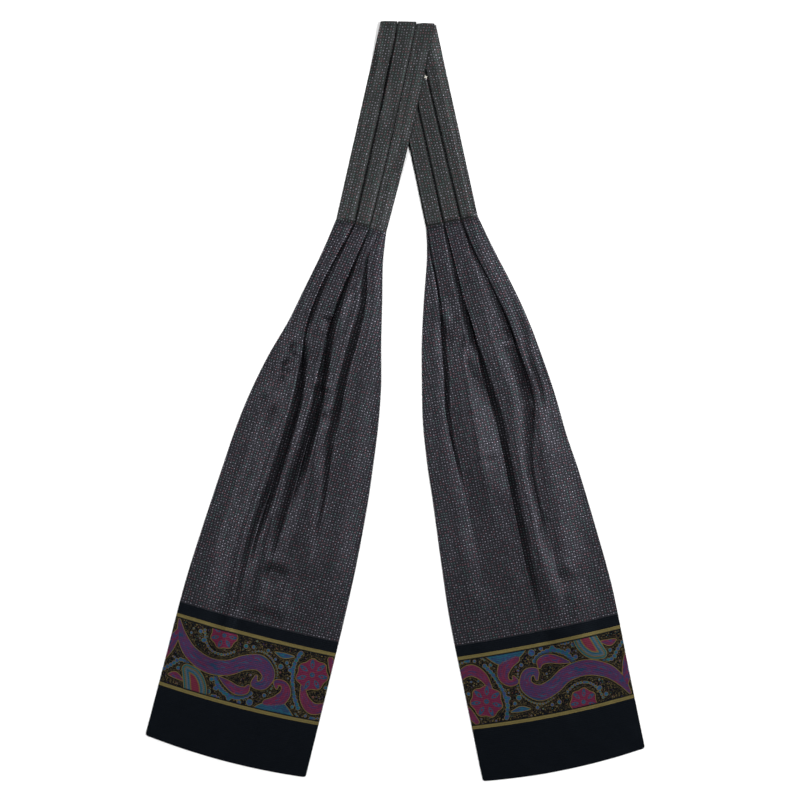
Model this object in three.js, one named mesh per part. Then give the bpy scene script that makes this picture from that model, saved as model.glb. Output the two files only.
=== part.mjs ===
// Silk day cravat, laid out flat: two wide blades hang from a narrow pleated neckband, which is
// folded over at its middle. The front half of the neckband crosses over the back half.
// Millimetres. X runs to the right, Y up towards the turn of the neckband, Z up from the table.

import * as THREE from 'three';

// The cloth: two plies of twilled silk turned in at their edges, closed to one wall
const CLOTH = 1.0;
const AIR = 0.3;
const LAYER = CLOTH + AIR;
const FLOOR = CLOTH / 2;

// A pressed knife pleat is three layers: face, underlay and the start of the next panel
const PLEAT_DROP = 2 * LAYER;
const PLEAT_HEIGHT = PLEAT_DROP + CLOTH;
const UNDERLAY = 6.5;
const UNDERLAY_OPEN = 0.2;
const PRESSED_TURN = Math.PI;
const SOFT_TURN = THREE.MathUtils.degToRad(34);
const SOFT_DROP = 1.6;
const PRESSED_SHARE = 0.6;
const OPEN_SHARE = 1.45;

// The turn of the neckband: the front half lies one full stack above the back half
const LIFT = PLEAT_HEIGHT + AIR;
const LIFT_RAMP = 18;
const TURN_RADIUS = PLEAT_HEIGHT + AIR / 2;
const TURN_OUTER = { x: -11.55, y: 303.97 };
const TURN_INNER = { x: 32.15, y: 303.07 };
const TURN_NOSE = THREE.MathUtils.degToRad(30);

// Section and station counts
const PANEL_STEPS = 4;
const BEND_STEPS = 3;
const TURN_STEPS = 12;
const ARM_STATIONS = 9;
const BLADE_STATIONS = 22;
const STATION_SPREAD = 1.55;
const STEP_CLEAR = 0.4;

// Each blade stands in its own frame: s runs down from the row of stitches that holds the
// pleats, v across from the outer edge to the inner one. side is 1 where v runs to the right.
// Each pleat's fold lies at its column; sharp is the length over which it stays pressed, and
// crest the height that it swells to there. From flat on, the blade lies flat on the table.
const FRONT = {
  side: 1,
  x: -26.75,
  y: 140.07,
  lean: -14.8,
  length: 438,
  flat: 334,
  hemBow: 3.4,
  pleats: [
    { column: 'one', sharp: 96, crest: 4.8 },
    { column: 'two', sharp: 70, crest: 4.2 },
    { column: 'three', sharp: 0, crest: 2.0 },
  ],
  stitchedPleats: 2,
  rows: [
    { s: 0, outer: -21.2, one: -6.6, two: 6.4, three: 13.0, inner: 20.5 },
    { s: 24, outer: -24.6, one: -12.1, two: 2.4, three: 11.0, inner: 24.2 },
    { s: 56, outer: -30.8, one: -19.3, two: -2.5, three: 16.3, inner: 32.0 },
    { s: 88, outer: -37.4, one: -22.3, two: -4.6, three: 17.3, inner: 39.6 },
    { s: 120, outer: -46.2, one: -18.2, two: -1.6, three: 16.9, inner: 48.0 },
    { s: 152, outer: -52.6, one: -15.4, two: 0.4, three: 19.4, inner: 54.0 },
    { s: 184, outer: -56.6, one: -16.6, two: -0.7, three: 21.4, inner: 58.2 },
    { s: 216, outer: -58.8, one: -18.9, two: -1.1, three: 26.0, inner: 61.8 },
    { s: 264, outer: -61.8, one: -22.3, two: -1.6, three: 29.0, inner: 65.4 },
    { s: 312, outer: -64.0, one: -19.8, two: 0.0, three: 30.0, inner: 67.2 },
    { s: 376, outer: -63.8, one: -19.0, two: 0.0, three: 30.0, inner: 68.4 },
    { s: 438, outer: -63.6, one: -19.0, two: 0.0, three: 30.0, inner: 69.4 },
  ],
  turnShares: { one: 0.315, two: 0.663 },
};

const BACK = {
  side: -1,
  x: 45.45,
  y: 143.47,
  lean: 11.6,
  length: 443.5,
  flat: 336,
  hemBow: 3.8,
  pleats: [
    { column: 'one', sharp: 98, crest: 3.8 },
    { column: 'two', sharp: 86, crest: 4.6 },
    { column: 'three', sharp: 60, crest: 3.6 },
  ],
  stitchedPleats: 3,
  rows: [
    { s: 0, outer: -21.2, one: -8.0, two: 6.2, three: 20.4, inner: 21.0 },
    { s: 24, outer: -27.2, one: -12.1, two: 5.1, three: 21.1, inner: 25.6 },
    { s: 56, outer: -36.2, one: -20.6, two: 3.5, three: 21.8, inner: 34.6 },
    { s: 88, outer: -44.0, one: -28.1, two: 0.7, three: 25.0, inner: 42.8 },
    { s: 120, outer: -49.2, one: -32.0, two: -0.9, three: 29.2, inner: 49.4 },
    { s: 152, outer: -53.2, one: -34.5, two: -4.2, three: 34.2, inner: 55.2 },
    { s: 184, outer: -55.6, one: -29.0, two: -5.6, three: 34.4, inner: 58.4 },
    { s: 216, outer: -59.6, one: -25.6, two: -5.5, three: 32.0, inner: 60.2 },
    { s: 264, outer: -63.8, one: -27.8, two: -5.2, three: 31.0, inner: 63.4 },
    { s: 312, outer: -67.0, one: -30.5, two: -6.1, three: 31.0, inner: 66.0 },
    { s: 376, outer: -66.8, one: -31.0, two: -6.0, three: 31.0, inner: 66.0 },
    { s: 443.5, outer: -66.8, one: -31.0, two: -6.0, three: 31.0, inner: 66.0 },
  ],
  turnShares: { one: 0.38, two: 0.67, three: 0.975 },
};

const CORNER_INSET = 1.2;
const HEM_THINNING = 0.5;

const { clamp, lerp, smoothstep } = THREE.MathUtils;

// A smooth curve through one column of a table of rows, at distance s
function column(rows, name, s) {
  const last = rows.length - 1;
  const i = clamp(rows.findIndex((row) => row.s > s) - 1, 0, last - 1);
  const k = s >= rows[last].s ? last - 1 : i;
  const slope = (j) => {
    const before = rows[Math.max(j - 1, 0)];
    const after = rows[Math.min(j + 1, last)];
    return (after[name] - before[name]) / (after.s - before.s);
  };
  const span = rows[k + 1].s - rows[k].s;
  const t = clamp((s - rows[k].s) / span, 0, 1);
  const t2 = t * t;
  const t3 = t2 * t;
  return (2 * t3 - 3 * t2 + 1) * rows[k][name] + (t3 - 2 * t2 + t) * span * slope(k)
    + (3 * t2 - 2 * t3) * rows[k + 1][name] + (t3 - t2) * span * slope(k + 1);
}

// How far a pleat has opened at distance s: its turn, its underlay and the height it stands at
function pleatState(pleat, flat, s) {
  const pressedEnd = PRESSED_SHARE * pleat.sharp;
  const openEnd = Math.max(OPEN_SHARE * pleat.sharp, 1);
  const opened = pleat.sharp > 0 ? smoothstep(s, pressedEnd, openEnd) : 1;
  const startDrop = pleat.sharp > 0 ? PLEAT_DROP : 0;
  const swellEnd = Math.max(pleat.sharp, 80);
  const drop = s < swellEnd
    ? lerp(startDrop, pleat.crest, smoothstep(s, 0, swellEnd))
    : pleat.crest * (1 - smoothstep(s, swellEnd, flat)) ** 0.8;
  return {
    turn: lerp(PRESSED_TURN, SOFT_TURN, opened),
    underlay: pleat.sharp > 0
      ? Math.max(UNDERLAY * (1 - s / pressedEnd), UNDERLAY_OPEN)
      : UNDERLAY_OPEN,
    drop,
  };
}

// The fold of one pleat in a section: over the fold, back along the underlay, and down to the
// table. A shallow fold keeps its spread and loses only height.
function foldLine(edge, state) {
  const { turn, underlay, drop } = state;
  const fullDrop = Math.max(drop, SOFT_DROP);
  const squash = drop / fullDrop;
  const bend = (fullDrop - underlay * Math.sin(turn)) / (2 * (1 - Math.cos(turn)));
  const reach = (bend + CLOTH / 2) * (turn > Math.PI / 2 ? 1 : Math.sin(turn));
  const start = edge - reach;
  const top = fullDrop;
  const points = [];
  for (let k = 0; k <= BEND_STEPS; k += 1) {
    const angle = (turn * k) / BEND_STEPS;
    points.push({ v: start + bend * Math.sin(angle), z: top - bend * (1 - Math.cos(angle)) });
  }
  const foot = {
    v: start + 2 * bend * Math.sin(turn) + underlay * Math.cos(turn),
    z: 0,
  };
  for (let k = BEND_STEPS; k >= 0; k -= 1) {
    const angle = (turn * k) / BEND_STEPS;
    points.push({ v: foot.v - bend * Math.sin(angle), z: foot.z + bend * (1 - Math.cos(angle)) });
  }
  const behind = (underlay + bend + CLOTH / 2) * clamp(-Math.cos(turn), 0, 1);
  return {
    points: points.map((p) => ({ v: p.v, z: FLOOR + p.z * squash })),
    riseEnd: start - Math.max(behind, STEP_CLEAR),
    flatTo: turn > Math.PI / 2 ? Math.max(foot.v, edge + AIR) : foot.v,
  };
}

// The middle line of a whole section, from the outer edge over every pleat to the inner edge
function middleLine(outer, inner, edges, states) {
  const line = [{ v: outer + CLOTH / 2, z: FLOOR }];
  let from = line[0].v;
  edges.forEach((edge, i) => {
    const fold = foldLine(edge, states[i]);
    const top = fold.points[0].z;
    const to = fold.riseEnd;
    if (i > 0) line.push({ v: from, z: FLOOR });
    for (let k = 1; k <= PANEL_STEPS; k += 1) {
      const t = k / PANEL_STEPS;
      line.push({ v: lerp(from, to, t), z: lerp(FLOOR, top, smoothstep(t, 0, 1)) });
    }
    line.push(...fold.points);
    from = fold.flatTo + STEP_CLEAR;
  });
  const last = line[line.length - 1].v;
  const end = inner - CLOTH / 2;
  for (let k = 1; k <= PANEL_STEPS; k += 1) {
    line.push({ v: lerp(last, end, k / PANEL_STEPS), z: FLOOR });
  }
  return line;
}

// The closed ring of a section: the middle line moved out to both faces, with round edges
function ringOf(line, thickness) {
  const half = thickness / 2;
  const upper = [];
  const lower = [];
  line.forEach((p, i) => {
    const a = line[Math.max(i - 1, 0)];
    const b = line[Math.min(i + 1, line.length - 1)];
    const run = Math.hypot(b.v - a.v, b.z - a.z);
    const nv = -(b.z - a.z) / run;
    const nz = (b.v - a.v) / run;
    upper.push({ v: p.v + half * nv, z: p.z + half * nz });
    lower.push({ v: p.v - half * nv, z: p.z - half * nz });
  });
  const first = line[0];
  const end = line[line.length - 1];
  return [
    ...upper,
    { v: end.v + half, z: end.z },
    ...lower.reverse(),
    { v: first.v - half, z: first.z },
  ];
}

// A body from rings of equal length: the skin between them and a strip over each end
function bodyFromRings(rings, side) {
  const size = rings[0].length;
  const span = (size - 2) / 2;
  const faces = [];
  for (let r = 0; r < rings.length - 1; r += 1) {
    for (let k = 0; k < size; k += 1) {
      const a = r * size + k;
      const b = r * size + ((k + 1) % size);
      faces.push([a, a + size, b], [b, a + size, b + size]);
    }
  }
  const cap = (base, reversed) => {
    const under = (k) => base + size - 2 - k;
    const add = (...face) => faces.push(reversed ? face.reverse() : face);
    for (let k = 0; k < span - 1; k += 1) {
      add(base + k, base + k + 1, under(k));
      add(base + k + 1, under(k + 1), under(k));
    }
    add(base + span - 1, base + span, under(span - 1));
    add(base, under(0), base + size - 1);
  };
  cap(0, false);
  cap((rings.length - 1) * size, true);
  const order = side > 0 ? [0, 1, 2] : [0, 2, 1];
  const geometry = new THREE.BufferGeometry();
  geometry.setAttribute('position', new THREE.Float32BufferAttribute(rings.flat(2), 3));
  geometry.setIndex(faces.flatMap((face) => order.map((k) => face[k])));
  geometry.computeVertexNormals();
  return geometry;
}

// Plan position of a point of a blade's own frame
function onBlade(blade, s, v) {
  const lean = THREE.MathUtils.degToRad(blade.lean);
  const across = v * blade.side;
  return {
    x: blade.x + s * Math.sin(lean) + across * Math.cos(lean),
    y: blade.y - s * Math.cos(lean) + across * Math.sin(lean),
  };
}

// A blade: pressed pleats under the stitches that open to soft folds and then lie flat
function bladeGeometry(blade) {
  const start = AIR / 2;
  const rings = [];
  const addStation = (s, inset, thickness) => {
    const outer = column(blade.rows, 'outer', s) + inset;
    const inner = column(blade.rows, 'inner', s) - inset;
    const edges = blade.pleats.map((pleat) => column(blade.rows, pleat.column, s));
    const states = blade.pleats.map((pleat) => pleatState(pleat, blade.flat, s));
    const ring = ringOf(middleLine(outer, inner, edges, states), thickness);
    const middle = (outer + inner) / 2;
    const halfWidth = (inner - outer) / 2;
    rings.push(ring.map(({ v, z }) => {
      const bow = blade.hemBow * smoothstep(s, blade.flat / 2, blade.length);
      const sway = 1 - ((v - middle) / halfWidth) ** 2;
      const { x, y } = onBlade(blade, s + bow * sway, v);
      return [x, y, z];
    }));
  };
  const plainEnd = blade.length - CORNER_INSET;
  for (let k = 0; k <= BLADE_STATIONS; k += 1) {
    addStation(start + (plainEnd - start) * (k / BLADE_STATIONS) ** STATION_SPREAD, 0, CLOTH);
  }
  addStation(blade.length, CORNER_INSET, CLOTH * HEM_THINNING);
  return bodyFromRings(rings, blade.side);
}

// Ends of one half of the neckband in plan: the row of stitches and the line of the turn
function armEnds(blade) {
  const first = blade.rows[0];
  const front = blade.side > 0;
  return {
    outerFoot: onBlade(blade, -AIR / 2, first.outer),
    innerFoot: onBlade(blade, -AIR / 2, first.inner),
    outerTop: front ? TURN_OUTER : TURN_INNER,
    innerTop: front ? TURN_INNER : TURN_OUTER,
  };
}

// Height that the front half gains where it climbs over the inner edge of the back half
function climb(x, y) {
  const { innerFoot, innerTop } = armEnds(BACK);
  const run = { x: innerFoot.x - innerTop.x, y: innerFoot.y - innerTop.y };
  const length = Math.hypot(run.x, run.y);
  const inside = ((x - innerTop.x) * -run.y + (y - innerTop.y) * run.x) / length;
  return LIFT * smoothstep(inside, -LIFT_RAMP, -AIR);
}

// Half of the neckband, its pleats pressed flat from the stitches to the turn
function armGeometry(blade) {
  const { outerFoot, innerFoot, outerTop, innerTop } = armEnds(blade);
  const first = blade.rows[0];
  const footWidth = first.inner - first.outer;
  const pleats = blade.pleats.slice(0, blade.stitchedPleats);
  const rise = outerTop.y - outerFoot.y;
  const reach = 1 - (TURN_RADIUS + AIR) / rise;
  const pressed = { turn: PRESSED_TURN, underlay: UNDERLAY, drop: PLEAT_DROP };
  const rings = [];
  for (let k = 0; k <= ARM_STATIONS; k += 1) {
    const t = reach * (1 - k / ARM_STATIONS);
    const a = { x: lerp(outerFoot.x, outerTop.x, t), y: lerp(outerFoot.y, outerTop.y, t) };
    const b = { x: lerp(innerFoot.x, innerTop.x, t), y: lerp(innerFoot.y, innerTop.y, t) };
    const width = Math.hypot(b.x - a.x, b.y - a.y);
    const edges = pleats.map(({ column: name }) => {
      const footShare = (first[name] - first.outer) / footWidth;
      return width * lerp(footShare, blade.turnShares[name], t);
    });
    const ring = ringOf(middleLine(0, width, edges, pleats.map(() => pressed)), CLOTH);
    rings.push(ring.map(({ v, z }) => {
      const x = lerp(a.x, b.x, v / width);
      const y = lerp(a.y, b.y, v / width);
      return [x, y, z + (blade.side > 0 ? climb(x, y) : 0)];
    }));
  }
  return bodyFromRings(rings, blade.side);
}

// The turn: the three layers of the back half bend round into those of the front half. They
// share one rounded nose, and stay parted where they run out to the two halves.
function turnGeometry() {
  const outline = [];
  const arc = (radius, from, to) => {
    const steps = Math.max(Math.round((TURN_STEPS * Math.abs(to - from)) / Math.PI), 2);
    for (let k = 0; k <= steps; k += 1) {
      const angle = lerp(from, to, k / steps);
      outline.push(new THREE.Vector2(radius * Math.cos(angle), radius * Math.sin(angle)));
    }
  };
  const side = Math.PI / 2;
  const cuts = [2 * LAYER, LAYER];
  arc(TURN_RADIUS, -side, side);
  cuts.forEach((radius) => {
    arc(radius + AIR / 2, side, TURN_NOSE);
    arc(radius - AIR / 2, TURN_NOSE, side);
  });
  arc(AIR / 2, side, -side);
  [...cuts].reverse().forEach((radius) => {
    arc(radius - AIR / 2, -side, -TURN_NOSE);
    arc(radius + AIR / 2, -TURN_NOSE, -side);
  });
  const run = new THREE.Vector3(TURN_INNER.x - TURN_OUTER.x, TURN_INNER.y - TURN_OUTER.y, 0);
  const geometry = new THREE.ExtrudeGeometry(new THREE.Shape(outline), {
    depth: run.length(),
    bevelEnabled: false,
  });
  const along = run.clone().normalize();
  const up = new THREE.Vector3(0, 0, 1);
  const ahead = new THREE.Vector3().crossVectors(up, along);
  const frame = new THREE.Matrix4().makeBasis(ahead, up, along);
  frame.setPosition(
    TURN_OUTER.x - ahead.x * TURN_RADIUS,
    TURN_OUTER.y - ahead.y * TURN_RADIUS,
    TURN_RADIUS,
  );
  geometry.applyMatrix4(frame);
  return geometry;
}

const CHARCOAL_SILK = { color: '#2f2f36', roughness: 0.5, metalness: 0 };

function piece(name, geometry) {
  const mesh = new THREE.Mesh(geometry, new THREE.MeshStandardMaterial(CHARCOAL_SILK));
  mesh.name = name;
  return mesh;
}

const cravat = new THREE.Group();
cravat.add(
  piece('blade_front', bladeGeometry(FRONT)),
  piece('blade_back', bladeGeometry(BACK)),
  piece('neckband_front', armGeometry(FRONT)),
  piece('neckband_back', armGeometry(BACK)),
  piece('neckband_turn', turnGeometry()),
);

export default cravat;
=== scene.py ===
"""A silk day cravat with a paisley border, laid out flat on a pale table and seen from above."""
import math

import bpy
import numpy as np
from mathutils import Matrix, Vector


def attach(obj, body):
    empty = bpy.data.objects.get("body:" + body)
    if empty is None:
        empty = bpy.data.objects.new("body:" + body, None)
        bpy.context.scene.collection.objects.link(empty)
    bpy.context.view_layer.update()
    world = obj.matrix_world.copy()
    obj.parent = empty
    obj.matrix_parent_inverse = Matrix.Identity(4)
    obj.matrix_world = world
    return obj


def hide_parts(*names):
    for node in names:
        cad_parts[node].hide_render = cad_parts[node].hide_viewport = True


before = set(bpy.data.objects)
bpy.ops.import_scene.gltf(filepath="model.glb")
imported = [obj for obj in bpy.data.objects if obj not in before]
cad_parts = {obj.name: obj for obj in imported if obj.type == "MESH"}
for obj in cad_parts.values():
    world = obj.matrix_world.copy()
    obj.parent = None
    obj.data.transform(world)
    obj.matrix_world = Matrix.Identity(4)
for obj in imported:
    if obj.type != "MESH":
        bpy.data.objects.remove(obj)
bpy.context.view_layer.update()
bpy.ops.object.select_all(action="DESELECT")

# Front blade
# The lower part of the cravat's left half: printed silk twill made double, seamed and turned at
# the long edges and the hem. Two pressed pleats leave the row of stitches at its top and open
# into soft folds, and the printed border at its foot lies flat on the table.

# All sizes are in millimetres. A blade is set out in its own frame: s runs down it from the
# stitches to the hem, and v across it, growing towards the other blade.
MM = 0.001
WALL = 0.6
FLOOR = WALL / 2

# Each pleat keeps its pressed fold for the distance "sharp", swells into a soft fold of height
# "crest" and fades out again. One sinks a little at its "slack". The rows give the plan of the
# blade's two edges and of its folds.
PLAN = ("s", "outer", "one", "two", "three", "inner")
FRONT = {
    "side": 1, "x": -26.75, "y": 140.07, "lean": math.radians(-14.8), "length": 438.0,
    "hem_bow": 3.7, "print_shift": 0.0,
    "pleats": [
        {"column": "one", "sharp": 96, "crest": 5.4, "swell": (40, 190), "fade": (255, 374)},
        {"column": "two", "sharp": 70, "crest": 5.4, "swell": (30, 150), "fade": (215, 338),
         "slack": 97},
        {"column": "three", "sharp": 0, "crest": 6.8, "swell": (-10, 80), "fade": (140, 285)},
    ],
    "stitched": 2,
    "inner_bow": 1.7,
    "panel_steps": [48, 22, 32, 42],
    "rows": [dict(zip(PLAN, row)) for row in (
        (0, -21.2, -6.6, 6.4, 13.0, 20.5),
        (24, -24.6, -12.1, 2.4, 11.0, 24.2),
        (56, -30.8, -19.3, -2.5, 16.3, 32.0),
        (88, -37.4, -22.3, -4.6, 17.3, 39.6),
        (120, -46.2, -18.2, -1.6, 16.9, 48.0),
        (152, -52.6, -15.4, 0.4, 19.4, 54.0),
        (184, -56.6, -16.6, -0.7, 21.4, 58.2),
        (216, -58.8, -18.9, -1.1, 26.0, 61.8),
        (264, -61.8, -22.3, -1.6, 29.0, 65.4),
        (312, -64.0, -19.8, 0.0, 30.0, 67.2),
        (376, -63.8, -19.0, 0.0, 30.0, 68.4),
        (438, -63.6, -19.0, 0.0, 30.0, 69.4),
    )],
    "turn_shares": {"one": 0.315, "two": 0.663},
}

# Creases pressed into the cloth: each is a low ridge that runs from its first place to its last
FRONT_CREASES = [
    {"s": (150, 268), "v": (-8.6, -10.4), "width": 4.5, "height": 1.3},
    {"s": (56, 104), "v": (25.4, 27.0), "width": 1.3, "height": 0.6},
    {"s": (100, 140), "v": (-25.5, -30.0), "width": 3.2, "height": 1.2},
    {"s": (120, 220), "v": (8.4, 10.5), "width": 5.0, "height": 1.4},
    {"s": (150, 330), "v": (40.0, 46.0), "width": 10.0, "height": 0.5},
    {"s": (210, 345), "v": (10.0, 14.0), "width": 7.0, "height": 0.5},
]

# Dents where a fold gives way: the cloth rises and dips there over a short way
FRONT_DENTS = [
    {"s": 52, "v": 8.5, "along": 17, "across": 5, "depth": 3.2},
    {"s": 78, "v": -6.5, "along": 5, "across": 4, "depth": 2.6},
    {"s": 112, "v": -27.0, "along": 5, "across": 3.4, "depth": 2.4},
    {"s": 127, "v": -30.5, "along": 5, "across": 4.5, "depth": 2.4},
    {"s": 134, "v": 2.5, "along": 6, "across": 6.5, "depth": 3.2},
    {"s": 152, "v": -35.0, "along": 8, "across": 6, "depth": 1.8},
    {"s": 153, "v": 9.0, "along": 6, "across": 5, "depth": 1.6},
    {"s": 282, "v": 4, "along": 8, "across": 8, "depth": 2.6},
    {"s": 318, "v": 8, "along": 9, "across": 14, "depth": 1.4},
]


def smooth(x, low, high):
    """An eased step: 0 up to low, 1 from high on."""
    t = np.clip((x - low) / (high - low), 0, 1)
    return t * t * (3 - 2 * t)


def column(rows, name, s):
    """A smooth curve through one column of a table of rows, at distance s."""
    last = len(rows) - 1
    k = min(max(sum(row["s"] <= s for row in rows) - 1, 0), last - 1)

    def slope(j):
        before, after = rows[max(j - 1, 0)], rows[min(j + 1, last)]
        return (after[name] - before[name]) / (after["s"] - before["s"])

    span = rows[k + 1]["s"] - rows[k]["s"]
    t = min(max((s - rows[k]["s"]) / span, 0), 1)
    ease = t * t * (3 - 2 * t)
    bend_in = t * (1 - t) ** 2 * span * slope(k)
    bend_out = t * t * (1 - t) * span * slope(k + 1)
    return (1 - ease) * rows[k][name] + ease * rows[k + 1][name] + bend_in - bend_out


# A knife pleat is three layers with a little air between them, over a short underlay
AIR = 0.25
LAYER = WALL + AIR
PLEAT_DROP = 2 * LAYER
STACK = PLEAT_DROP + WALL
UNDERLAY = 6.5

# It starts to open at a share of its sharp length, and has become a soft fold at another
PRESSED_SHARE = 0.6
OPEN_SHARE = 1.45

# A soft fold's slope, its least height, and the shares of its height in its straight run and its
# round crest. Lower down, where the cloth is looser, the slope is less by the worn turn and the
# other worn values hold.
SOFT_TURN = math.radians(44)
WORN_TURN = math.radians(4)
WORN_FROM = (150, 300)
SOFT_DROP = 2.6
WORN_DROP = 3.6
RUN_SHARE = 0.65
WORN_RUN_SHARE = 0.45
PRESSED_CREST = 0.5
CREST_SHARE = 0.88
WORN_CREST_SHARE = 0.7
FADE_POWER = 0.7
SLACK_SHARE = 0.5
SLACK_REACH = 13

# The share of a panel by which it has risen from the trough behind it, and where the outermost
# panel starts to rise: pressed, and what is added as the pleat opens and as it fades
LEVEL_BY = 0.36
LEVEL_OPEN = 0.2
LEVEL_FADED = 0.9
RISE_FROM = -0.2
RISE_OPEN = 0.6


def pleat_state(pleat, s):
    """The form of a pleat at distance s: the angle that the cloth turns through at its fold, its
    straight run, its height, and how the panels beside it rise."""
    sharp = pleat["sharp"]
    pressed_end = PRESSED_SHARE * sharp
    opened = smooth(s, pressed_end, OPEN_SHARE * sharp) if sharp else 1.0
    start = PLEAT_DROP if sharp else 0.0
    drop = start + (pleat["crest"] - start) * smooth(s, *pleat["swell"])
    drop *= (1 - smooth(s, *pleat["fade"])) ** FADE_POWER
    if "slack" in pleat:
        drop *= 1 - SLACK_SHARE * math.exp(-(((s - pleat["slack"]) / SLACK_REACH) ** 2))
    worn = smooth(s, *WORN_FROM)
    full = drop + max(SOFT_DROP + (WORN_DROP - SOFT_DROP) * worn - drop, 0) * opened
    soft_turn = SOFT_TURN - WORN_TURN * worn
    run_share = RUN_SHARE + (WORN_RUN_SHARE - RUN_SHARE) * worn
    crest_share = CREST_SHARE + (WORN_CREST_SHARE - CREST_SHARE) * worn
    run = opened * run_share * full / math.sin(soft_turn)
    if s < pressed_end:
        run += UNDERLAY * (1 - s / pressed_end)
    return {"turn": math.pi + (soft_turn - math.pi) * opened, "run": run, "drop": drop,
            "crest_share": PRESSED_CREST + (crest_share - PRESSED_CREST) * opened, "full": full,
            "rise_from": RISE_FROM + RISE_OPEN * opened,
            "level_by": LEVEL_BY + LEVEL_OPEN * opened + LEVEL_FADED * smooth(s, *pleat["fade"])}


# A soft fold's run starts a share of its length before the fold's edge. What lies beside a fold
# keeps clear of it.
RUN_BACK = 0.36
BEND_STEPS = 5
STEP_CLEAR = 0.3
STEP_LEAST = 0.06


def fold_line(edge, state):
    """One pleat in a section: over its fold, along its straight run and down to the table.
    A pressed pleat runs back beneath itself. An open one runs on and down."""
    turn, run, drop, full = (state[k] for k in ("turn", "run", "drop", "full"))
    bends = (full - run * math.sin(turn)) / (1 - math.cos(turn))
    crest, hollow = bends * state["crest_share"], bends * (1 - state["crest_share"])
    reach = (crest + WALL / 2) * (1 if turn > math.pi / 2 else math.sin(turn))
    start = edge - reach - RUN_BACK * run * max(math.cos(turn), 0)
    foot = start + bends * math.sin(turn) + run * math.cos(turn)
    angles = turn * np.arange(BEND_STEPS + 1) / BEND_STEPS
    over = np.stack([start + crest * np.sin(angles), full - crest * (1 - np.cos(angles))], 1)
    under = np.stack([foot - hollow * np.sin(angles), hollow * (1 - np.cos(angles))], 1)[::-1]
    points = np.concatenate([over, under])
    points[:, 1] = FLOOR + points[:, 1] * drop / full
    behind = (run + crest + WALL / 2) * max(-math.cos(turn), 0)
    return {
        "points": points,
        "rise_end": start - max(behind, STEP_CLEAR),
        "flat_to": max(foot, edge + AIR) if turn > math.pi / 2 else foot,
        "clear": STEP_LEAST + STEP_CLEAR * max(-math.cos(turn), 0),
    }


# A panel levels off in a curve of this power and swells by this loft. The last panel is low:
# its height where pressed and where open, and the share of its width by which it has risen.
LEVEL_POWER = 2.0
LOFT = 0.3
INNER_PRESSED = 0.8
INNER_LOFT = 0.9
INNER_LEVEL_BY = 0.42


def middle_line(outer, inner, edges, states, steps, loft=0.0, fade=1.0, held=0.0):
    """A section's middle line from edge to edge, and the number of the panel each point is in.
    A panel rises from the trough that it starts in, and swells by a share of the loft. The last
    one is lowered by its fade and falls to the table by its edge, unless it is held up."""
    line = [np.array([[outer + WALL / 2, FLOOR]])]
    panel = [0]
    start = outer + WALL / 2
    for i, edge in enumerate(edges):
        fold = fold_line(edge, states[i])
        top = fold["points"][0, 1]
        if i:
            line.append(np.array([[start, FLOOR]]))
            panel.append(i)
        t = np.arange(1, steps[i] + 1) / steps[i]
        if i:
            share = 1 - np.maximum(1 - t / states[i - 1]["level_by"], 0) ** LEVEL_POWER
        else:
            share = smooth(t, states[0]["rise_from"], 1.0)
        rise = FLOOR + (top - FLOOR) * share
        rise += LOFT * loft * np.sin(math.pi * t) ** 2
        line.append(np.stack([start + (fold["rise_end"] - start) * t, rise], 1))
        line.append(fold["points"])
        bend = BEND_STEPS + 1
        panel += [i] * (steps[i] + bend) + [i + 1] * bend
        start = fold["flat_to"] + fold["clear"]
    line.append(np.array([[start, FLOOR]]))
    panel.append(len(edges))
    end = inner - WALL / 2
    t = np.arange(1, steps[len(edges)] + 1) / steps[len(edges)]
    height = INNER_PRESSED + (INNER_LOFT - INNER_PRESSED) * loft
    share = 1 - np.maximum(1 - t / INNER_LEVEL_BY, 0) ** LEVEL_POWER
    fall = (1 - held) * smooth(t, INNER_LEVEL_BY, 1)
    rise = FLOOR + height * fade * share * (1 - fall)
    line.append(np.stack([start + (end - start) * t, rise], 1))
    panel += [len(edges)] * len(t)
    return np.concatenate(line), np.array(panel)


SOFTEN_LEAST = 0.2


def soften(v, z, reach):
    """Heights of an open section evened out over a reach, less so towards the blade's edges."""
    reach = np.clip(0.5 * np.minimum(v - v[0], v[-1] - v), SOFTEN_LEAST, reach)
    away = (v[:, None] - v) / reach[:, None]
    weight = np.exp(-(away**2)) * np.abs(np.gradient(v))
    return weight @ z / weight.sum(1)


def on_blade(blade, s, v):
    """Plan position, in millimetres, of a point of a blade's own frame."""
    across = v * blade["side"]
    lean = blade["lean"]
    x = blade["x"] + s * math.sin(lean) + across * math.cos(lean)
    y = blade["y"] - s * math.cos(lean) + across * math.sin(lean)
    return x, y


SEAM_DIP = 0.5
SEAM_REACH = 0.9


def seam_dip(away):
    """The stitches draw the layers together in a shallow groove: the share of height left."""
    return 1 - SEAM_DIP * np.exp(-((away / SEAM_REACH) ** 2))


UNEVEN = 0.13
UNEVEN_FROM = (20, 60)
CREASE_FADE = 1.5


def relief(s, v, creases, dents):
    """Height that creases, dents and the slight unevenness of laid silk add to a blade. The
    unevenness is small ripples over broad ones, which cross aslant and never repeat."""
    small = np.sin(s / 8.3 + 0.8 * np.sin(v / 9)) * np.sin(v / 5.1 + s / 31)
    broad = np.sin(s / 21 + v / 13) * np.sin(v / 11 - s / 47)
    height = UNEVEN * (small + broad)
    height *= smooth(s, *UNEVEN_FROM)
    for crease in creases:
        start, end = crease["s"]
        if start < s < end:
            t = (s - start) / (end - start)
            middle = crease["v"][0] + (crease["v"][1] - crease["v"][0]) * t
            fade = math.sin(math.pi * t) ** CREASE_FADE
            height += crease["height"] * fade * np.exp(-(((v - middle) / crease["width"]) ** 2))
    for dent in dents:
        along = (s - dent["s"]) / dent["along"]
        across = (v - dent["v"]) / dent["across"]
        height -= dent["depth"] * along * np.exp(-(along**2) - across**2)
    return height


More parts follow.
